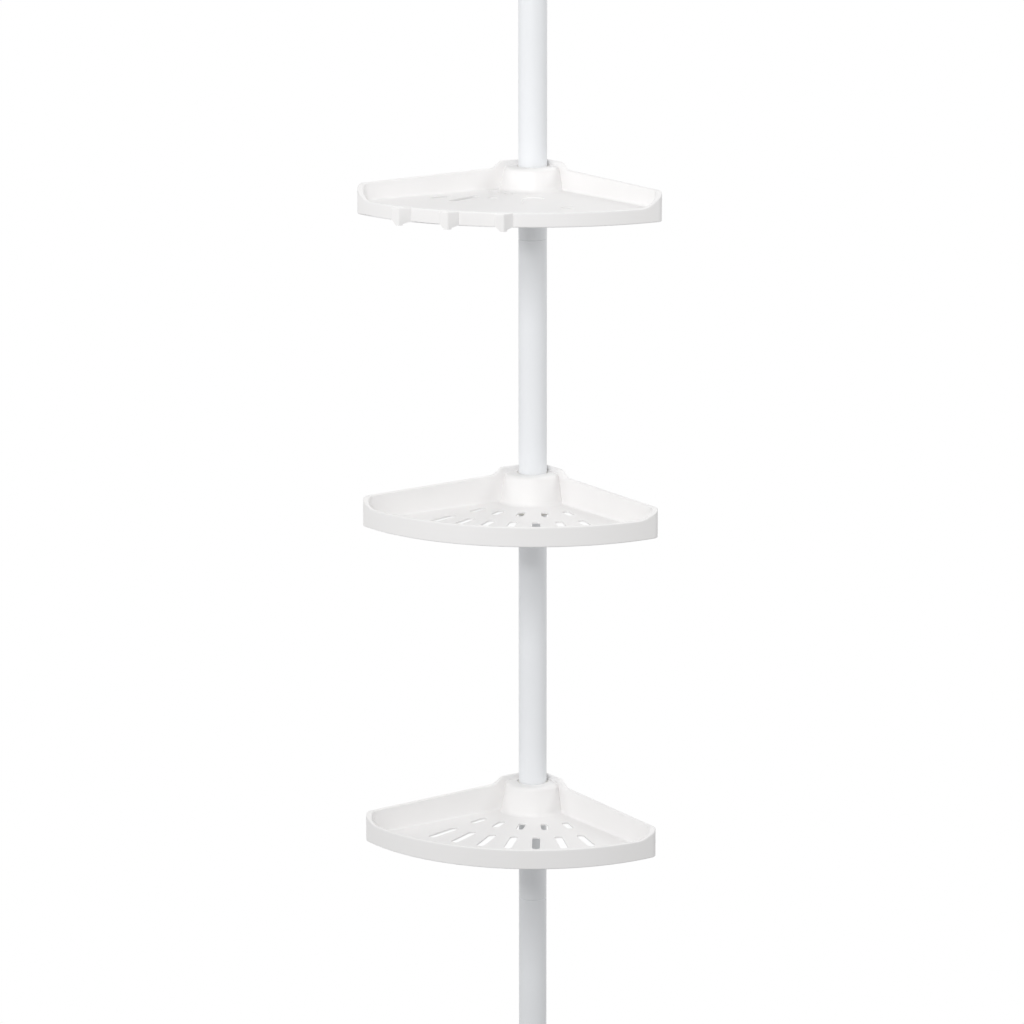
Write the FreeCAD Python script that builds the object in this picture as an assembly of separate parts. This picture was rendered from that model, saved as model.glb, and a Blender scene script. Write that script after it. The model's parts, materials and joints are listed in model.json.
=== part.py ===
"""Tension pole shelf unit: a sprung floor-to-ceiling pole with three quarter-round corner trays.

Millimetres. +Z is up and the pole's axis is X = Y = 0. Z = 0 is the underside of the foot pad.
The trays' two back walls lie along X and Y, so the room's corner is on the +X +Y side.
"""
import FreeCAD
import Part
import math
import os

V = FreeCAD.Vector
UP = V(0, 0, 1)

# ---------------------------------------------------------------- driving dimensions
# fits
run_gap = 0.05            # radial clearance where a piece turns or slides on another
seat_gap = 0.05           # radial clearance where a piece is plugged in and stays
free_gap = 0.3            # clearance where two pieces pass without touching

# pole
pole_od = 25.0
tube_wall = 0.8
section_len = 600.0
neck_len = 35.0           # swaged end that plugs into the section below
neck_edge = 0.3
end_round = 0.7           # rounding of a tube's end, seen as the seam
edge_round = 0.4          # rounding of moulded edges
socket_floor = 20.0       # height of the lower tube's end above the floor

# foot and ceiling ends
pad_r = 32.0
pad_t = 5.0
pad_proud = 3.0           # how far the pad stands out of its recess
pad_edge = 1.5            # chamfer round the pad's outer face
pad_groove_radii = (12.0, 21.0)
pad_groove_w = 4.0
pad_groove_t = 1.0
pad_button_r = 6.0
pad_button_len = 4.0
cup_r = 35.0
cup_rim_t = 5.0
cup_dish_out = 5.0        # the dish under the rim reaches this far beyond the neck
cup_dish_h = 3.0
cup_neck_wall = 3.5       # neck's radius beyond the pole's
cup_neck_h = 12.0         # from the rim's back to the narrowest part of the neck
cup_blend = 6.0
cup_edge = 0.8
cup_wall = 3.4
foot_height = 55.0        # from the pad's face to the end of the cup on the tube

# telescopic end
ext_clear = 0.7           # radial clearance in the upper tube
ext_len = 600.0
ext_overlap = 220.0       # length of the extension tube inside the upper tube
guide_head = 15.0
guide_plug = 25.0
guide_wall = 3.2
cap_wall = 2.5
cap_sleeve = 12.0
cap_lip = 6.0
cap_round = 2.0
plunger_gap = 0.08        # radial clearance of the plunger in the extension tube
plunger_depth = 90.0      # length of the plunger inside the extension tube
plunger_wall = 5.1
plunger_bore_len = 150.0
spring_travel = 40.0
spring_len = 90.0
spring_clear = 1.2        # between the coil and the extension tube
spring_wire = 2.2
spring_turns = 10
seat_len = 25.0
seat_pip_clear = 0.8      # between the pip and the coil
seat_pip_len = 10.0
pin_r = 2.0
pin_from_end = 15.0       # height of the pin above the plunger's lower end
cup_clear = 4.0           # space left under the ceiling cup when the spring is fully pressed
cup_socket = 20.0
cup_height = 50.0         # from the pad's face to the end of the cup on the plunger

# lock
lock_sleeve = 40.0        # length of the lock body over the upper tube
lock_fingers = 25.0       # length of the clamping fingers above the tube's mouth
lock_wall = 2.5           # outside the pole
lock_flange_out = 2.0
lock_flange_t = 10.0
lock_cone = 10.0          # length of the fingers' tapered tip
lock_tip_wall = 2.2       # fingers' tips, outside the extension tube
slit_w = 1.2
slit_from_mouth = 2.0
collar_wall = 4.0
collar_headroom = 3.0     # space over the fingers
collar_top_t = 9.0
collar_shoulder = 12.0    # height of the rounded upper end
collar_nose_wall = 3.0
flute_count = 18
flute_r = 1.8
flute_depth = 1.0
flute_margin = 3.0        # plain band under the flutes
flute_clear = 4.0         # plain band between the flutes and the rounded end

# trays
tray_heights = {"lower": 699.0, "middle": 982.5, "hook": 1254.0}   # bottom edge above the floor
tray_leg = {"lower": 185.5, "middle": 185.5, "hook": 188.2}        # back wall, corner to tip
tray_floor = {"lower": 4.0, "middle": 4.0, "hook": 10.0}           # floor's upper face
wall_reach = 4.5          # back wall's outer face beyond the pole
front_bulge = 59.7        # rise of the front arc over the line between the tips
wall_t = 3.0
floor_t = 1.4
tip_r = 7.0
inner_tip_r = 13.0        # the same corners inside, so the rim is broad there
inner_round = 2.2         # between floor and walls
rim_round = 1.3
foot_round = 1.0          # outer bottom edge
shoulder_h = 34.5         # back walls round the hub
wall_h_hub = 28.6         # back walls next to the hub
wall_h_tip = 25.7
front_h = {"lower": 17.5, "middle": 17.5, "hook": 12.5}
shoulder_at = (29.5, 35.5)    # where the rim steps down, measured from the corner along the middle
front_at = (130.0, 143.0)     # where the rim drops to the front wall
hub_h = 30.0
hub_top_reach = 11.5      # beyond the pole
hub_base_reach = 16.0
hub_top_round = 4.0
hub_base_round = 4.0
hub_wall = 3.0
hub_rib_t = 1.6           # ribs inside the skirt
hub_rib_angles = (-75.0, -25.0, 25.0, 75.0)
hub_fillet_r = 6.0        # width of the ring that blends the hub into the floor

# rows of drain slots in the plain trays, on rays from the corner: how far the row's outer end
# falls short of the tips, slot length, slot width, and the rays' angles from the middle line
slot_rows = ((40.5, 35.0, 7.0, (-30, -20, -10, 0, 10, 20, 30)),
             (96.0, 18.5, 6.5, (-30, -15, 0, 15, 30)))
# openings in the hook tray's floor: angle, inner radius, outer radius, width
hook_floor = ((-36.0, 103.0, 125.0, 7.0), (-25.0, 89.0, 127.0, 7.0), (20.3, 141.0, 151.0, 10.0),
              (-32.0, 51.0, 60.0, 9.0), (-14.0, 56.0, 64.0, 8.0), (-14.4, 87.0, 95.0, 8.0))
hook_dish = (8.0, 78.0, 128.0, 18.0)     # shallow dish in the same floor, given in the same way
dish_depth = 1.0
dish_round = 0.9

# hooks
hook_angles = (-22.8, -9.2, 4.5)
hook_out = 9.2            # reach from the front wall
hook_sweep = 6.4          # how far the outer end leans along the wall
hook_t = 3.0
hook_arm = 3.2            # thickness of the arm, measured along the wall
hook_len = 14.5           # from the arm's root to the tongue's free end
hook_top = 12.5
hook_drop = 2.4           # how far the point hangs below the bottom edge
hook_lift = 2.0           # height of the arm's underside at the wall, above the bottom edge
hook_point = 5.0          # bevel under the tongue's free end
hook_round = 1.2

# collets
collet_tip_t = 1.4        # thickness at the hub's top
collet_base_t = 2.5       # thickness at the hub's base
collet_flange_out = 3.5
collet_flange_t = 6.0
collet_sunk = 0.5         # how far its tip lies under the hub's top
collet_split = 1.6

# ---------------------------------------------------------------- derived
pole_r = pole_od / 2
bore_r = pole_r - tube_wall
neck_r = bore_r - seat_gap
joint_1 = socket_floor + section_len
joint_2 = joint_1 + section_len
mouth = joint_2 + section_len
ext_r = bore_r - ext_clear
ext_bore_r = ext_r - tube_wall
ext_bottom = mouth - ext_overlap
ext_top = ext_bottom + ext_len
cap_top = ext_top + cap_lip
plunger_r = ext_bore_r - plunger_gap
spring_r = ext_bore_r - spring_clear - spring_wire / 2
lock_r = pole_r + lock_wall
lock_tip_r = ext_r + lock_tip_wall
collar_r = lock_r + collar_wall
wall_offset = pole_r + wall_reach
bore_top_r = pole_r + collet_tip_t
bore_base_r = pole_r + collet_base_t
hub_top_r = pole_r + hub_top_reach
hub_base_r = pole_r + hub_base_reach
plunger_bottom = ext_top - plunger_depth
cup_bottom = cap_top + spring_travel + cup_clear
plunger_top = cup_bottom + cup_socket
spring_bottom = plunger_bottom - spring_len
pin_z = plunger_bottom + pin_from_end
top = cup_bottom + cup_height


# ---------------------------------------------------------------- tools
def rounded_wire(points, closed=True):
    """Wire through (a, b, radius) points in the XZ plane, each corner rounded by its radius."""
    count = len(points)
    ends = []
    for i, (a, b, r) in enumerate(points):
        here = V(a, 0, b)
        if r == 0 or (not closed and i in (0, count - 1)):
            ends.append((here, None, here))
            continue
        before = V(points[i - 1][0], 0, points[i - 1][1]) - here
        after = V(points[(i + 1) % count][0], 0, points[(i + 1) % count][1]) - here
        before.normalize()
        after.normalize()
        half = before.getAngle(after) / 2
        cut = r / math.tan(half)
        inward = before + after
        inward.normalize()
        centre = here + inward * (r / math.sin(half))
        ends.append((here + before * cut, centre - inward * r, here + after * cut))
    edges = []
    for i, (start, middle, end) in enumerate(ends):
        if middle is not None:
            edges.append(Part.Arc(start, middle, end).toShape())
        if i < count - 1 or closed:
            following = ends[(i + 1) % count][0]
            if end.distanceToPoint(following) > 1e-6:
                edges.append(Part.LineSegment(end, following).toShape())
    return Part.Wire(edges)


def turned(points):
    """Solid of revolution about Z of a closed (radius, height, rounding) outline."""
    return Part.Face(rounded_wire(points)).revolve(V(0, 0, 0), UP, 360)


def ring(r_out, r_in, z0, z1):
    return turned([(r_in, z0, 0), (r_out, z0, 0), (r_out, z1, 0), (r_in, z1, 0)])


def cross_cylinder(r, length, z):
    """Cylinder along X, centred on the pole's axis."""
    return Part.makeCylinder(r, length, V(-length / 2, 0, z), V(1, 0, 0))


# ---------------------------------------------------------------- pole
def tube_section(z0, z1, necked):
    """One steel section, its lower end necked down to plug into the section below."""
    if not necked:
        outline = [(pole_r, z0, end_round), (pole_r, z1, end_round), (bore_r, z1, 0), (bore_r, z0, 0)]
    else:
        throat = neck_r - tube_wall
        outline = [(neck_r, z0 - neck_len, neck_edge), (neck_r, z0, 0), (pole_r, z0, end_round),
                   (pole_r, z1, end_round), (bore_r, z1, 0), (bore_r, z0 + 3 * tube_wall, 0),
                   (throat, z0 + 2 * tube_wall, 0), (throat, z0 - neck_len, 0)]
    return turned(outline)


def end_pad(z, out):
    """Rubber pad whose outer face is at z; out is +1 at the ceiling and -1 at the floor."""
    inner = z - out * pad_t
    groove = z - out * pad_groove_t
    outline = [(0, z, 0)]
    for r in pad_groove_radii:
        near = r - pad_groove_w / 2
        far = r + pad_groove_w / 2
        outline += [(near, z, edge_round), (near, groove, edge_round), (far, groove, edge_round),
                    (far, z, edge_round)]
    outline += [(pad_r - pad_edge, z, 0), (pad_r, z - out * pad_edge, 0), (pad_r, inner, 0),
                (pad_button_r, inner, 0), (pad_button_r, inner - out * pad_button_len, 0),
                (0, inner - out * pad_button_len, 0)]
    return turned(outline)


def end_cup(z, out, height, socket_r, socket_depth):
    """Moulded cup that holds an end pad; z is the pad's outer face."""
    rim = z - out * pad_proud
    rim_back = rim - out * cup_rim_t
    recess = z - out * pad_t
    button_end = recess - out * (pad_button_len + free_gap)
    end = z - out * height
    recess_r = pad_r + seat_gap
    button_r = pad_button_r + seat_gap
    waist_r = pole_r + cup_neck_wall
    outline = [(0, button_end, 0), (button_r, button_end, 0), (button_r, recess, 0),
               (recess_r, recess, 0), (recess_r, rim, edge_round), (cup_r, rim, cup_edge),
               (cup_r, rim_back, cup_edge), (waist_r + cup_dish_out, rim_back - out * cup_dish_h, cup_blend),
               (waist_r, rim_back - out * cup_neck_h, cup_blend), (socket_r + cup_wall, end, cup_edge),
               (socket_r, end, edge_round), (socket_r, end + out * socket_depth, 0),
               (0, end + out * socket_depth, 0)]
    return turned(outline)


# ---------------------------------------------------------------- telescopic end
def extension_tube():
    tube = ring(ext_r, ext_bore_r, ext_bottom, ext_top)
    return tube.cut(cross_cylinder(pin_r + seat_gap, 2 * ext_r + 2, pin_z))


def extension_guide():
    head_r = bore_r - run_gap
    plug_r = ext_bore_r - seat_gap
    hole_r = plug_r - guide_wall
    return turned([(hole_r, ext_bottom - guide_head, 0), (head_r, ext_bottom - guide_head, cup_edge),
                   (head_r, ext_bottom, 0), (plug_r, ext_bottom, 0),
                   (plug_r, ext_bottom + guide_plug, edge_round), (hole_r, ext_bottom + guide_plug, 0)])


def extension_cap():
    inner = ext_r + seat_gap
    outer = ext_r + cap_wall
    return turned([(inner, ext_top - cap_sleeve, 0), (outer, ext_top - cap_sleeve, cup_edge),
                   (outer, cap_top, cap_round), (ext_bore_r, cap_top, edge_round), (ext_bore_r, ext_top, 0),
                   (inner, ext_top, 0)])


def spring_seat():
    r = ext_bore_r - seat_gap
    pip_r = spring_r - spring_wire / 2 - seat_pip_clear
    pip_top = spring_bottom + seat_pip_len
    return turned([(0, spring_bottom - seat_len, 0), (r, spring_bottom - seat_len, edge_round),
                   (r, spring_bottom, 0), (pip_r, spring_bottom, 0), (pip_r, pip_top, 1.5), (0, pip_top, 0)])


def tension_spring():
    wire_r = spring_wire / 2
    run = spring_len - spring_wire - 2 * seat_gap
    helix = Part.makeHelix(run / spring_turns, run, spring_r)
    section = Part.Wire(Part.makeCircle(wire_r, V(spring_r, 0, 0), V(0, 1, 0)))
    coil = Part.Wire(helix).makePipeShell([section], True, True)
    coil.translate(V(0, 0, spring_bottom + wire_r + seat_gap))
    return coil


def plunger():
    bore_end = plunger_bottom + plunger_bore_len
    hole_r = plunger_r - plunger_wall
    rod = turned([(0, bore_end, 0), (hole_r, bore_end, 0), (hole_r, plunger_bottom, 0),
                  (plunger_r, plunger_bottom, edge_round), (plunger_r, plunger_top, edge_round),
                  (0, plunger_top, 0)])
    half = pin_r + run_gap
    slot = Part.makeBox(2 * plunger_r + 2, 2 * half, spring_travel, V(-plunger_r - 1, -half, pin_z))
    for end in (pin_z, pin_z + spring_travel):
        slot = slot.fuse(cross_cylinder(half, 2 * plunger_r + 2, end))
    return rod.cut(slot)


def lock_body():
    sleeve_bottom = mouth - lock_sleeve
    flange_top = sleeve_bottom + lock_flange_t
    flange_r = lock_r + lock_flange_out
    tip = mouth + lock_fingers
    body = turned([(pole_r + seat_gap, sleeve_bottom, 0), (flange_r, sleeve_bottom, cup_edge),
                   (flange_r, flange_top, edge_round), (lock_r, flange_top, 0), (lock_r, tip - lock_cone, 0),
                   (lock_tip_r, tip, edge_round), (ext_r + run_gap, tip, 0), (ext_r + run_gap, mouth, 0),
                   (pole_r + seat_gap, mouth, 0)])
    for turn in (0, 90):
        slit = Part.makeBox(2 * lock_r + 2, slit_w, lock_fingers, 
                            V(-lock_r - 1, -slit_w / 2, mouth + slit_from_mouth))
        slit.rotate(V(0, 0, 0), UP, turn)
        body = body.cut(slit)
    return body


def lock_collar():
    bottom = mouth - lock_sleeve + lock_flange_t + free_gap
    tip = mouth + lock_fingers
    inner = lock_r + run_gap
    hole = ext_r + free_gap
    cone_end = lock_tip_r + free_gap
    ceiling = tip + collar_headroom
    collar_top = ceiling + collar_top_t
    shoulder = collar_top - collar_shoulder
    collar = turned([(inner, bottom, 0), (collar_r, bottom, cup_edge), (collar_r, shoulder, cup_blend),
                     (hole + collar_nose_wall, collar_top, cup_edge), (hole, collar_top, edge_round),
                     (hole, ceiling, 0), (cone_end, ceiling, 0), (cone_end, tip, 0),
                     (inner, tip - lock_cone, 0)])
    length = shoulder - bottom - flute_margin - flute_clear
    for i in range(flute_count):
        turn = 2 * math.pi * i / flute_count
        out = collar_r + flute_r - flute_depth
        start = V(out * math.cos(turn), out * math.sin(turn), bottom + flute_margin)
        collar = collar.cut(Part.makeCylinder(flute_r, length, start, UP))
    return collar


# ---------------------------------------------------------------- trays
def arc_centre_and_radius(leg):
    """Front arc of a tray: centre's distance from the corner along the middle, and radius."""
    half_chord = leg / math.sqrt(2)
    radius = (half_chord ** 2 + front_bulge ** 2) / (2 * front_bulge)
    return half_chord + front_bulge - radius, radius


def direction(angle):
    """Unit vector at an angle from the tray's middle line; 0 points out of the room's corner."""
    turn = math.radians(225 + angle)
    return V(math.cos(turn), math.sin(turn), 0)


def from_corner(angle, distance, z=0):
    return V(wall_offset, wall_offset, z) + direction(angle) * distance


def vertical_edges(solid):
    return [e for e in solid.Edges
            if abs(e.BoundBox.XLength) + abs(e.BoundBox.YLength) < 1e-6 and e.BoundBox.ZLength > 1]


def plan_prism(leg, inset, z0, z1, corner_r=tip_r):
    """Tray outline drawn in by inset, as a prism from z0 to z1.

    corner_r is the radius at the tips of the outline that is drawn in.
    """
    away, radius = arc_centre_and_radius(leg)
    edge = wall_offset - inset
    square = Part.makeBox(2 * leg, 2 * leg, z1 - z0, V(edge - 2 * leg, edge - 2 * leg, z0))
    disc = Part.makeCylinder(radius - inset, z1 - z0, from_corner(0, away, z0), UP)
    prism = square.common(disc)
    corner = []
    tips = []
    for e in vertical_edges(prism):
        at = e.CenterOfMass
        if abs(at.x - edge) < 1e-4 and abs(at.y - edge) < 1e-4:
            corner.append(e)
        elif abs(at.x - edge) < 1e-4 or abs(at.y - edge) < 1e-4:
            tips.append(e)
    prism = prism.makeFillet(edge, corner)
    tips = [e for e in vertical_edges(prism)
            if any(e.CenterOfMass.distanceToPoint(t.CenterOfMass) < 1e-3 for t in tips)]
    return prism.makeFillet(corner_r - inset, tips)


def rim_cutter(leg, front):
    """Everything above the rim: high at the hub, falling along the back walls, low in front."""
    stretch = leg / tray_leg["lower"]
    far = 2 * leg
    outline = [(-30, shoulder_h, 0), (shoulder_at[0], shoulder_h, 5), (shoulder_at[1], wall_h_hub, 5),
               (front_at[0] * stretch, wall_h_tip, 12), (front_at[1] * stretch, front, 12),
               (far, front, 0), (far, 100, 0), (-30, 100, 0)]
    cutter = Part.Face(rounded_wire(outline)).extrude(V(0, 2 * far, 0))
    cutter.translate(V(0, -far, 0))
    cutter.rotate(V(0, 0, 0), UP, 225)
    cutter.translate(V(wall_offset, wall_offset, 0))
    return cutter


def rim_edges(shell, front):
    """Edges between the rim's top and the upright walls."""
    chosen = []
    for e in shell.Edges:
        faces = shell.ancestorsOfType(e, Part.Face)
        if len(faces) != 2 or e.BoundBox.ZMin < front - 1:
            continue
        middle = e.valueAt((e.FirstParameter + e.LastParameter) / 2)
        tilt = []
        for f in faces:
            u, v = f.Surface.parameter(middle)
            tilt.append(f.normalAt(u, v).z)
        if min(abs(t) for t in tilt) < 0.05 and max(tilt) > 0.3:
            chosen.append(e)
    return chosen


def slot_tool(angle, r0, r1, width, z0, z1):
    """Round-ended slot along a ray from the corner."""
    half = width / 2
    tool = Part.makeCylinder(half, z1 - z0, from_corner(angle, r0 + half, z0), UP)
    tool = tool.fuse(Part.makeCylinder(half, z1 - z0, from_corner(angle, r1 - half, z0), UP))
    run = r1 - r0 - width
    if run > 0:
        bar = Part.makeBox(run, width, z1 - z0, V(r0 + half, -half, z0))
        bar.rotate(V(0, 0, 0), UP, 225 + angle)
        bar.translate(V(wall_offset, wall_offset, 0))
        tool = tool.fuse(bar)
    return tool


def dish_tool(angle, r0, r1, width, floor_top):
    """Shallow round-ended dish with rounded edges at its bottom."""
    tool = slot_tool(angle, r0, r1, width, floor_top - dish_depth, floor_top + 1).removeSplitter()
    low_edges = [e for e in tool.Edges if e.BoundBox.ZMax < floor_top - dish_depth + 1e-6]
    return tool.makeFillet(dish_round, low_edges)


def hub_solid(leg, floor_top):
    """Tapered boss round the pole, filling the corner, with its skirt's hollow from below."""
    base = hub_base_r
    boss = turned([(0, 0, 0), (base, 0, 0), (base, floor_top - 1, 0),
                   (base + hub_fillet_r, floor_top - 1, 0), (base + hub_fillet_r, floor_top, 0),
                   (base, floor_top, hub_base_round), (hub_top_r, hub_h, hub_top_round), (0, hub_h, 0)])
    sleeve_r = bore_base_r + hub_wall
    roof = hub_h - hub_wall - 1
    slope = (hub_base_r - hub_top_r) / (hub_h - floor_top)
    hollow = turned([(sleeve_r, -1, 0), (base - hub_wall, -1, 0), (base - hub_wall, floor_top, 0),
                     (base - hub_wall - slope * (roof - floor_top), roof, 1.0), (sleeve_r, roof, 1.0)])
    for angle in hub_rib_angles:
        rib = Part.makeBox(base, hub_rib_t, hub_h, V(0, -hub_rib_t / 2, 0))
        rib.rotate(V(0, 0, 0), UP, 225 + angle)
        hollow = hollow.cut(rib)
    boss = boss.common(outer_block(leg))
    return boss.cut(hollow.common(plan_prism(leg, wall_t, -2, hub_h + 2)))


def bore_tool():
    slope = (bore_base_r - bore_top_r) / hub_h
    return Part.makeCone(bore_base_r + slope * 2, bore_top_r - slope * 10, hub_h + 12, V(0, 0, -2), UP)


def outer_block(leg):
    """Tray's outside up to above its highest rim, its bottom edge rounded."""
    block = plan_prism(leg, 0, 0, shoulder_h + 5)
    return block.makeFillet(foot_round, [e for e in block.Edges if e.BoundBox.ZMax < 1e-6])


def tray_shell(name):
    leg = tray_leg[name]
    floor_top = tray_floor[name]
    pocket = plan_prism(leg, wall_t, floor_top, shoulder_h + 10, inner_tip_r)
    low_edges = [e for e in pocket.Edges if e.BoundBox.ZMax < floor_top + 1e-6]
    pocket = pocket.makeFillet(inner_round, low_edges)
    under = plan_prism(leg, wall_t, -1, floor_top - floor_t)
    shell = outer_block(leg).cut(pocket).cut(under).cut(rim_cutter(leg, front_h[name]))
    return shell.makeFillet(rim_round, rim_edges(shell, front_h[name]))


def tray(name):
    leg = tray_leg[name]
    floor_top = tray_floor[name]
    body = tray_shell(name).fuse(hub_solid(leg, floor_top))
    if name == "hook":
        for angle in hook_angles:
            body = body.fuse(hook(leg, angle))
    body = body.cut(bore_tool())
    if name == "hook":
        openings = hook_floor
    else:
        openings = [(angle, leg - short - length, leg - short, width)
                    for short, length, width, angles in slot_rows for angle in angles]
    for angle, r0, r1, width in openings:
        body = body.cut(slot_tool(angle, r0, r1, width, floor_top - floor_t - 1, floor_top + 1))
    if name == "hook":
        body = body.cut(dish_tool(*hook_dish, floor_top))
    body = body.removeSplitter()
    body.translate(V(0, 0, tray_heights[name]))
    return body


def hook(leg, angle):
    """Hook on the front wall: an arm that leans along the wall, with a tongue that runs on from it.

    Drawn with X along the wall, Y up and Z out of the wall, then set on the arc.
    """
    away, radius = arc_centre_and_radius(leg)
    corner = from_corner(0, 0)
    centre = from_corner(0, away)
    along = (centre - corner).dot(direction(angle))
    off = centre - corner - direction(angle) * along
    root = corner + direction(angle) * (along + math.sqrt(radius ** 2 - off.Length ** 2))
    outward = root - centre
    outward.normalize()

    root_in = wall_t / 2
    lean = hook_sweep / hook_out
    inner = hook_out - hook_t
    plan = [(lean * root_in, -root_in, 0), (-hook_sweep, hook_out, 2.0), (-hook_len, hook_out, hook_round),
            (-hook_len, inner, hook_round), (-hook_arm - lean * inner, inner, 1.5),
            (-hook_arm + lean * root_in, -root_in, 0)]
    block = Part.Face(rounded_wire(plan)).extrude(V(0, hook_top + hook_drop, 0))
    block.translate(V(0, -hook_drop, 0))
    top_edges = [e for e in block.Edges if e.BoundBox.YMin > hook_top - 1e-6 and e.CenterOfMass.z > 0]
    block = block.makeFillet(hook_round, top_edges)

    low = -hook_drop - 1
    heel = Part.makePolygon([V(0, low, -5), V(0, low, inner), V(0, -hook_drop / 2, inner),
                             V(0, hook_lift, -5), V(0, low, -5)])
    heel = Part.Face(heel).extrude(V(-3 * hook_len, 0, 0))
    heel.translate(V(hook_len, 0, 0))
    block = block.cut(heel)
    beyond = -hook_len - 1
    point = Part.makePolygon([V(-hook_len + hook_point + 1, low, 0), V(beyond, low, 0),
                              V(beyond, low + hook_point + 2, 0), V(-hook_len + hook_point + 1, low, 0)])
    block = block.cut(Part.Face(point).extrude(V(0, 0, 2 * hook_out)))

    block.Placement = FreeCAD.Placement(root, FreeCAD.Rotation(UP.cross(outward), UP, outward, "ZXY"))
    return block


# ---------------------------------------------------------------- collets
def collet_half(name, side):
    """Half of a tapered collet; side is +1 for the half away from the corner."""
    slope = (bore_base_r - bore_top_r) / hub_h
    base = bore_base_r - run_gap
    tip_z = hub_h - collet_sunk
    tip = base - slope * tip_z
    inner = pole_r + run_gap
    flange_r = bore_base_r + collet_flange_out
    whole = turned([(inner, -collet_flange_t, edge_round), (flange_r, -collet_flange_t, cup_edge),
                    (flange_r, 0, 0), (base, 0, 0), (tip, tip_z, edge_round), (inner, tip_z, 0)])
    big = 2 * flange_r
    keep = Part.makeBox(big, 2 * big, 4 * big, V(collet_split / 2, -big, -2 * big))
    keep.rotate(V(0, 0, 0), UP, 225 if side > 0 else 45)
    half = whole.common(keep)
    half.translate(V(0, 0, tray_heights[name]))
    return half


# ---------------------------------------------------------------- assembly
def build():
    parts = {
        "floor_pad": end_pad(0, -1),
        "floor_base": end_cup(0, -1, foot_height, pole_r + seat_gap, foot_height - socket_floor),
        "lower_tube": tube_section(socket_floor, joint_1, False),
        "middle_tube": tube_section(joint_1, joint_2, True),
        "upper_tube": tube_section(joint_2, mouth, True),
        "lock_body": lock_body(),
        "lock_collar": lock_collar(),
        "extension_tube": extension_tube(),
        "extension_guide": extension_guide(),
        "extension_cap": extension_cap(),
        "spring_seat": spring_seat(),
        "tension_spring": tension_spring(),
        "plunger": plunger(),
        "retaining_pin": cross_cylinder(pin_r, 2 * ext_r - 0.2, pin_z),
        "ceiling_cup": end_cup(top, 1, top - cup_bottom, plunger_r + seat_gap, cup_socket),
        "ceiling_pad": end_pad(top, 1),
    }
    for name in tray_heights:
        parts[name + "_tray"] = tray(name)
        parts[name + "_collet_front"] = collet_half(name, 1)
        parts[name + "_collet_rear"] = collet_half(name, -1)
    return parts


os.makedirs("parts", exist_ok=True)
for node, shape in build().items():
    shape.exportStep("parts/" + node + ".step")
    print(node, len(shape.Solids), "solid", shape.isValid(), round(shape.Volume / 1000, 2), "cm3")
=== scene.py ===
"""Looks of the tension pole shelf unit: coated steel pole, moulded corner trays, sprung ceiling end.

Metres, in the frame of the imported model: the pole stands on Z, and the trays' back walls lie along
X and Y.
"""
import json
import math

import bpy
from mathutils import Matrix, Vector


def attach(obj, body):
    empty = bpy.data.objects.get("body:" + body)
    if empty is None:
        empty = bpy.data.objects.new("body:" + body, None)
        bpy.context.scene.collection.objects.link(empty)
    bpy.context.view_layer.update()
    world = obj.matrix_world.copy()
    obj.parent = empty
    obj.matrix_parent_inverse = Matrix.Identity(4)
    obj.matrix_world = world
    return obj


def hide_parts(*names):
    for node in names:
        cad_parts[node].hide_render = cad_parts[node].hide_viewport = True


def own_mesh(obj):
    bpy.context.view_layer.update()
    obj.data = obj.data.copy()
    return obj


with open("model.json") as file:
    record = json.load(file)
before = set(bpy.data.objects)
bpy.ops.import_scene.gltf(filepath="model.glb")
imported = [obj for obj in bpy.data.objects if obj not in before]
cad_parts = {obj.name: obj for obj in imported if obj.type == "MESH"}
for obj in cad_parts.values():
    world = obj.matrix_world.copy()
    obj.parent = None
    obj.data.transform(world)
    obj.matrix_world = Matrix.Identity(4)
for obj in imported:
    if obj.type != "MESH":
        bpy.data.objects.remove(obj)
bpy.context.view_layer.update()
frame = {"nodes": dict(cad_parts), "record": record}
MM = 0.001

# ---------------------------------------------------------------- camera
IMAGE_SIDE = 1024             # pixels
SENSOR = 36.0                 # mm
FOCAL_PIXELS = 3830.6
CAMERA_REACH = 3.3094         # level distance from the pole
CAMERA_HEIGHT = 1.7078
CAMERA_SIDE = math.radians(34.32)     # how far it stands round from -Y towards -X
CAMERA_DOWN = math.radians(12.4646)
POLE_COLUMN = 532.7           # where the pole's axis is in the image
VIEW_END = 50.0
BACKGROUND = "#ffffff"


def place_camera():
    data = bpy.data.cameras.new("camera")
    data.sensor_width = SENSOR
    data.lens = FOCAL_PIXELS / IMAGE_SIDE * SENSOR
    data.shift_x = (IMAGE_SIDE / 2 - POLE_COLUMN) / IMAGE_SIDE
    data.clip_end = VIEW_END
    camera = bpy.data.objects.new("camera", data)
    camera.location = (-CAMERA_REACH * math.sin(CAMERA_SIDE),
                       -CAMERA_REACH * math.cos(CAMERA_SIDE), CAMERA_HEIGHT)
    camera.rotation_euler = (math.radians(90) - CAMERA_DOWN, 0, -CAMERA_SIDE)
    bpy.context.scene.collection.objects.link(camera)
    bpy.context.scene.camera = camera


# ---------------------------------------------------------------- materials
# a Mix node has one set of sockets for each data type; these are the share and those for colour
MIX_SHARE, MIX_A, MIX_B, MIX_COLOUR = 0, 6, 7, 2
WAVE_RADIANS = 20             # in a Wave texture, over a length of 1 at a scale of 1


def linear(colour):
    """sRGB hex to linear RGBA."""
    channels = [int(colour[i:i + 2], 16) / 255 for i in (1, 3, 5)]
    return [c / 12.92 if c <= 0.04045 else ((c + 0.055) / 1.055) ** 2.4
            for c in channels] + [1.0]


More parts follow.
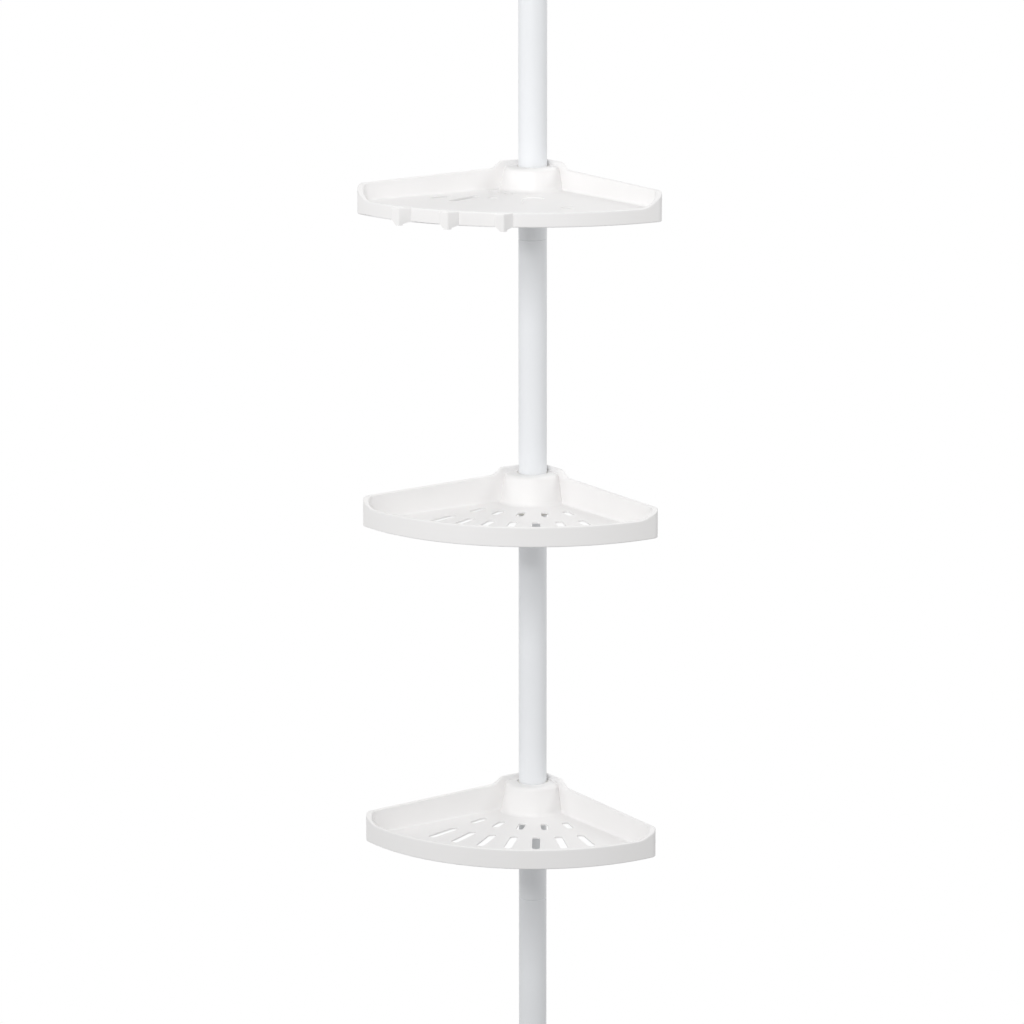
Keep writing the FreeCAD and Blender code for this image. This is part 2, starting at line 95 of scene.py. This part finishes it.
def add(tree, kind, inputs=None, **settings):
    """A node with its settings. inputs gives, for an input's name, a value or a socket to link."""
    node = tree.nodes.new(kind)
    for key, value in settings.items():
        setattr(node, key, value)
    for key, value in (inputs or {}).items():
        if isinstance(value, bpy.types.NodeSocket):
            tree.links.new(value, node.inputs[key])
        else:
            node.inputs[key].default_value = value
    return node


def new_material(name):
    material = bpy.data.materials.new(name)
    material.use_nodes = True
    tree = material.node_tree
    tree.nodes.clear()
    return material, tree


def per(size_mm):
    """Noise scale on Object coordinates for features of a size in millimetres."""
    return 1.0 / (size_mm * MM)


def output(tree, shader):
    add(tree, "ShaderNodeOutputMaterial", {"Surface": shader.outputs[0]})


def mixed_colour(tree, amount, first, second):
    """Colour between two hex colours by a 0-1 socket."""
    mix = add(tree, "ShaderNodeMix", {MIX_SHARE: amount, MIX_A: linear(first), MIX_B: linear(second)},
              data_type="RGBA")
    return mix.outputs[MIX_COLOUR]


def stained(tree, amount, clean, stain):
    """A colour socket with a hex colour laid over it by a 0-1 socket."""
    mix = add(tree, "ShaderNodeMix", {MIX_SHARE: amount, MIX_A: clean, MIX_B: linear(stain)},
              data_type="RGBA")
    return mix.outputs[MIX_COLOUR]


def object_place(tree, stretch=None):
    """Object coordinates. A small number in stretch draws a pattern out along that axis."""
    place = add(tree, "ShaderNodeTexCoord").outputs["Object"]
    if stretch:
        place = add(tree, "ShaderNodeMapping", {"Vector": place, "Scale": stretch}).outputs[0]
    return place


def moulded_polypropylene():
    """Trays: white polypropylene from a fine-eroded mould.

    A warm white, never quite even, with a satin sheen that breaks up on a faint grain.
    """
    material, tree = new_material("moulded_polypropylene")
    place = object_place(tree)
    # melt flows out from the hub, and leaves soft clouds a hand wide
    cloud = add(tree, "ShaderNodeTexNoise", {"Vector": place, "Scale": per(60), "Detail": 3.0})
    colour = mixed_colour(tree, cloud.outputs[0], "#f4f3f2", "#f7f6f6")
    # the real grain is about 0.05 mm; 0.5 mm shows
    grain = add(tree, "ShaderNodeTexNoise", {"Vector": place, "Scale": per(0.5), "Detail": 2.0})
    fine = add(tree, "ShaderNodeBump",
               {"Height": grain.outputs[0], "Strength": 0.12, "Distance": 0.05 * MM})
    # thin walls cool unevenly and are never dead flat: waves 25 mm long
    sink = add(tree, "ShaderNodeTexNoise", {"Vector": place, "Scale": per(25), "Detail": 0.0})
    bump = add(tree, "ShaderNodeBump", {"Height": sink.outputs[0], "Strength": 0.25,
                                        "Distance": 0.1 * MM, "Normal": fine.outputs[0]})
    sheen = add(tree, "ShaderNodeMapRange",
                {"Value": cloud.outputs[0], "To Min": 0.36, "To Max": 0.46})
    shader = add(tree, "ShaderNodeBsdfPrincipled",
                 {"Base Color": colour, "Roughness": sheen.outputs[0],
                  "Normal": bump.outputs[0], "IOR": 1.49})
    output(tree, shader)
    return material


def powder_coated_steel():
    """Tube sections: steel with a baked white powder coat.

    A slightly cool white, satin, with a soft orange peel.
    """
    material, tree = new_material("powder_coated_steel")
    place = object_place(tree)
    cloud = add(tree, "ShaderNodeTexNoise", {"Vector": place, "Scale": per(90), "Detail": 2.0})
    colour = mixed_colour(tree, cloud.outputs[0], "#f0f2f5", "#f3f5f7")
    peel = add(tree, "ShaderNodeTexNoise", {"Vector": place, "Scale": per(1.6), "Detail": 1.0})
    bump = add(tree, "ShaderNodeBump",
               {"Height": peel.outputs[0], "Strength": 0.1, "Distance": 0.08 * MM})
    # handling leaves the coat a little duller in long streaks
    rub = add(tree, "ShaderNodeTexNoise",
              {"Vector": object_place(tree, (1, 1, 0.15)), "Scale": per(12)})
    sheen = add(tree, "ShaderNodeMapRange",
                {"Value": rub.outputs[0], "To Min": 0.30, "To Max": 0.38})
    shader = add(tree, "ShaderNodeBsdfPrincipled",
                 {"Base Color": colour, "Roughness": sheen.outputs[0],
                  "Normal": bump.outputs[0], "IOR": 1.5})
    output(tree, shader)
    return material


def polished_abs():
    """Cups, collar, cap and plunger: white ABS from a polished mould.

    Brighter and glossier than the trays. Flow lines run round the pieces, and handling has left
    hair-fine scuffs in the gloss.
    """
    material, tree = new_material("polished_abs")
    flow = add(tree, "ShaderNodeTexNoise",
               {"Vector": object_place(tree, (0.25, 0.25, 1)), "Scale": per(8), "Detail": 3.0})
    colour = mixed_colour(tree, flow.outputs[0], "#f1f1f0", "#f8f8f7")
    # real scuffs are 0.02 mm wide; 0.4 mm shows
    scuff = add(tree, "ShaderNodeTexNoise",
                {"Vector": object_place(tree, (1, 0.2, 1.6)), "Scale": per(0.8), "Detail": 1.0})
    sheen = add(tree, "ShaderNodeMapRange",
                {"Value": scuff.outputs[0], "From Min": 0.35, "From Max": 0.75,
                 "To Min": 0.24, "To Max": 0.31})
    bump = add(tree, "ShaderNodeBump",
               {"Height": flow.outputs[0], "Strength": 0.1, "Distance": 0.05 * MM})
    shader = add(tree, "ShaderNodeBsdfPrincipled",
                 {"Base Color": colour, "Roughness": sheen.outputs[0],
                  "Normal": bump.outputs[0], "IOR": 1.54})
    output(tree, shader)
    return material


def grey_acetal():
    """Lock body, guide and spring seat: light grey moulded acetal.

    Waxy, with faint darker swirls and specks of pigment.
    """
    material, tree = new_material("grey_acetal")
    place = object_place(tree)
    swirl = add(tree, "ShaderNodeTexNoise",
                {"Vector": place, "Scale": per(14), "Detail": 4.0, "Distortion": 1.5})
    colour = mixed_colour(tree, swirl.outputs[0], "#a9acaf", "#b9bcbe")
    # specks of pigment are about 0.1 mm; 0.7 mm shows
    speck = add(tree, "ShaderNodeTexNoise", {"Vector": place, "Scale": per(0.7), "Detail": 1.0})
    few = add(tree, "ShaderNodeMapRange",
              {"Value": speck.outputs[0], "From Min": 0.62, "From Max": 0.75, "To Max": 0.5})
    colour = stained(tree, few.outputs[0], colour, "#8f9295")
    bump = add(tree, "ShaderNodeBump",
               {"Height": speck.outputs[0], "Strength": 0.15, "Distance": 0.05 * MM})
    shader = add(tree, "ShaderNodeBsdfPrincipled",
                 {"Base Color": colour, "Roughness": 0.42, "Normal": bump.outputs[0], "IOR": 1.48})
    output(tree, shader)
    return material


def natural_nylon():
    """Collet halves: moulded nylon with no pigment.

    Creamy, cloudy and waxy, with light sinking a little way in.
    """
    material, tree = new_material("natural_nylon")
    place = object_place(tree)
    cloud = add(tree, "ShaderNodeTexNoise", {"Vector": place, "Scale": per(9), "Detail": 3.0})
    colour = mixed_colour(tree, cloud.outputs[0], "#eceae2", "#f5f3ec")
    # a turned mould leaves lines round the cone, about 0.2 mm apart; 1.5 mm shows
    turned = add(tree, "ShaderNodeTexWave",
                 {"Vector": place, "Scale": per(1.5) * math.tau / WAVE_RADIANS, "Distortion": 0.4},
                 bands_direction="Z")
    bump = add(tree, "ShaderNodeBump",
               {"Height": turned.outputs["Fac"], "Strength": 0.15, "Distance": 0.03 * MM})
    shader = add(tree, "ShaderNodeBsdfPrincipled",
                 {"Base Color": colour, "Roughness": 0.38, "Normal": bump.outputs[0], "IOR": 1.53,
                  "Subsurface Weight": 0.15, "Subsurface Scale": 1.0,
                  "Subsurface Radius": (1.5 * MM, 1.3 * MM, 1.0 * MM)})
    output(tree, shader)
    return material


def thermoplastic_rubber():
    """Pads: pale moulded thermoplastic rubber. Dull, with dust caught in a pebbled skin."""
    material, tree = new_material("thermoplastic_rubber")
    place = object_place(tree)
    bloom = add(tree, "ShaderNodeTexNoise", {"Vector": place, "Scale": per(11), "Detail": 5.0})
    clean = mixed_colour(tree, bloom.outputs[0], "#d6d5d1", "#e2e1de")
    pebble = add(tree, "ShaderNodeTexVoronoi", {"Vector": place, "Scale": per(1.2)})
    dust = add(tree, "ShaderNodeMapRange",
               {"Value": pebble.outputs["Distance"], "From Min": 0.3, "From Max": 0.8, "To Max": 0.35})
    dusty = stained(tree, dust.outputs[0], clean, "#bdbbb5")
    bump = add(tree, "ShaderNodeBump",
               {"Height": pebble.outputs["Distance"], "Strength": 0.35, "Distance": 0.15 * MM},
               invert=True)
    shader = add(tree, "ShaderNodeBsdfPrincipled",
                 {"Base Color": dusty, "Roughness": 0.78, "Normal": bump.outputs[0], "IOR": 1.52})
    output(tree, shader)
    return material


def zinc_plated_wire():
    """Spring and pin: drawn steel with bright zinc.

    Bluish, with fine lines along the wire and duller patches.
    """
    material, tree = new_material("zinc_plated_wire")
    # drawing lines, 0.2 mm apart; the wire lies almost level, so what is short in height runs
    # along it
    drawn = add(tree, "ShaderNodeTexNoise",
                {"Vector": object_place(tree, (0.08, 0.08, 1)), "Scale": per(0.2), "Detail": 3.0})
    patch = add(tree, "ShaderNodeTexNoise",
                {"Vector": object_place(tree), "Scale": per(5), "Detail": 3.0})
    colour = mixed_colour(tree, patch.outputs[0], "#b9bec4", "#d3d6d9")
    sheen = add(tree, "ShaderNodeMapRange",
                {"Value": patch.outputs[0], "To Min": 0.22, "To Max": 0.45})
    bump = add(tree, "ShaderNodeBump",
               {"Height": drawn.outputs[0], "Strength": 0.3, "Distance": 0.03 * MM})
    shader = add(tree, "ShaderNodeBsdfPrincipled",
                 {"Base Color": colour, "Metallic": 1.0, "Roughness": sheen.outputs[0],
                  "Normal": bump.outputs[0]})
    output(tree, shader)
    return material


FINISHES = {
    "tray_plastic": moulded_polypropylene,
    "collet_plastic": natural_nylon,
    "white_plastic": polished_abs,
    "grey_plastic": grey_acetal,
    "rubber": thermoplastic_rubber,
    "spring_steel": zinc_plated_wire,
    "coated_steel": powder_coated_steel,
}


def finish_nodes():
    """Every CAD node gets the material of its slot in the record."""
    slots = {part["node"]: part["material_slot"] for part in frame["record"]["subparts"]}
    made = {}
    for node, piece in frame["nodes"].items():
        make = FINISHES[slots[node]]
        if make not in made:
            made[make] = make()
        piece.data.materials.clear()
        piece.data.materials.append(made[make])


# ---------------------------------------------------------------- spring
WELD = 0.001 * MM             # points nearer than this are one
SMOOTH_UNDER = math.radians(30)


def spring_that_shortens():
    """The coil as a piece of its own, welded and smooth-shaded, which rides with the extension."""
    node = frame["nodes"]["tension_spring"]
    coil = bpy.data.objects.new("spring_coil", node.data.copy())
    bpy.context.scene.collection.objects.link(coil)
    bpy.ops.object.select_all(action="DESELECT")
    coil.select_set(True)
    bpy.context.view_layer.objects.active = coil
    bpy.ops.object.mode_set(mode="EDIT")
    bpy.ops.mesh.select_all(action="SELECT")
    bpy.ops.mesh.remove_doubles(threshold=WELD)
    bpy.ops.object.mode_set(mode="OBJECT")
    bpy.ops.object.shade_smooth_by_angle(angle=SMOOTH_UNDER)
    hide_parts("tension_spring")
    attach(coil, "extension")
    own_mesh(coil)


# ---------------------------------------------------------------- studio
LAMPS = (                     # name, place, height of the point it is aimed at, side, watts
    ("key", (-3.111, -0.727, 2.03), 1.1, 0.25, 10),
    ("front", (-1.668, -1.434, 2.1), 1.1, 0.9, 20.3),
    ("right", (1.6, -1.8, 2.2), 1.3, 0.9, 10),
    ("left", (-2.005, 0.906, 1.8), 1.1, 0.9, 5),
    ("back", (0.963, 0.27, 2.7), 1.1, 0.9, 7),
)
ROOM_LEVEL = 0.45             # what the white room gives the object, of the white that is seen
FLOOR_RADIUS = 1.3
FLOOR_FADE = (0.5, 1.25)      # from the pole outwards, where the floor passes into the white room
FLOOR_WHITE = 0.75            # share of plain white in the floor where it is seen
FLOOR_COLOUR = "#8c8c8c"


def soft_lamp(name, place, aim_height, side, watts):
    """A square lamp turned towards a point on the pole."""
    data = bpy.data.lights.new(name, "AREA")
    data.shape = "RECTANGLE"
    data.size = data.size_y = side
    data.energy = watts
    lamp = bpy.data.objects.new(name, data)
    lamp.location = place
    way = Vector((0, 0, aim_height)) - Vector(place)
    lamp.rotation_euler = way.to_track_quat("-Z", "Y").to_euler()
    bpy.context.scene.collection.objects.link(lamp)


def seen_or_mirrored(tree):
    """1 for a ray that comes from the camera or from gloss or glass, 0 for one that only lights."""
    path = add(tree, "ShaderNodeLightPath")
    seen = add(tree, "ShaderNodeMath",
               {0: path.outputs["Is Camera Ray"], 1: path.outputs["Is Glossy Ray"]},
               operation="MAXIMUM")
    return add(tree, "ShaderNodeMath",
               {0: seen.outputs[0], 1: path.outputs["Is Transmission Ray"]},
               operation="MAXIMUM").outputs[0]


def white_room():
    """World that lights softly from all sides, and is plain white where it is seen or mirrored."""
    world = bpy.data.worlds.new("studio")
    bpy.context.scene.world = world
    world.use_nodes = True
    tree = world.node_tree
    tree.nodes.clear()
    clear = seen_or_mirrored(tree)
    fill = add(tree, "ShaderNodeBackground", {"Color": linear(BACKGROUND), "Strength": ROOM_LEVEL})
    white = add(tree, "ShaderNodeBackground", {"Color": linear(BACKGROUND), "Strength": 1.0})
    mix = add(tree, "ShaderNodeMixShader", {0: clear, 1: fill.outputs[0], 2: white.outputs[0]})
    add(tree, "ShaderNodeOutputWorld", {"Surface": mix.outputs[0]})


def pale_floor():
    """A round pale floor that fades into the white room at its edge, and throws little light up."""
    bpy.ops.object.select_all(action="DESELECT")
    bpy.ops.mesh.primitive_circle_add(vertices=96, radius=FLOOR_RADIUS, fill_type="NGON")
    floor = bpy.context.object
    floor.name = "floor"
    material, tree = new_material("floor")
    place = object_place(tree)
    far = add(tree, "ShaderNodeVectorMath", {0: place}, operation="LENGTH")
    start, end = FLOOR_FADE
    fade = add(tree, "ShaderNodeMapRange",
               {"Value": far.outputs["Value"], "From Min": start, "From Max": end})
    matt = add(tree, "ShaderNodeBsdfDiffuse", {"Color": linear(FLOOR_COLOUR)})
    glow = add(tree, "ShaderNodeEmission", {"Color": linear(BACKGROUND), "Strength": 1.0})
    share = add(tree, "ShaderNodeMath", {0: seen_or_mirrored(tree), 1: FLOOR_WHITE},
                operation="MULTIPLY")
    pale = add(tree, "ShaderNodeMixShader",
               {0: share.outputs[0], 1: matt.outputs[0], 2: glow.outputs[0]})
    gone = add(tree, "ShaderNodeBsdfTransparent")
    mix = add(tree, "ShaderNodeMixShader",
              {0: fade.outputs[0], 1: pale.outputs[0], 2: gone.outputs[0]})
    output(tree, mix)
    floor.data.materials.append(material)


place_camera()
finish_nodes()
spring_that_shortens()
white_room()
pale_floor()
for lamp in LAMPS:
    soft_lamp(*lamp)
bpy.context.scene.view_settings.view_transform = "Standard"
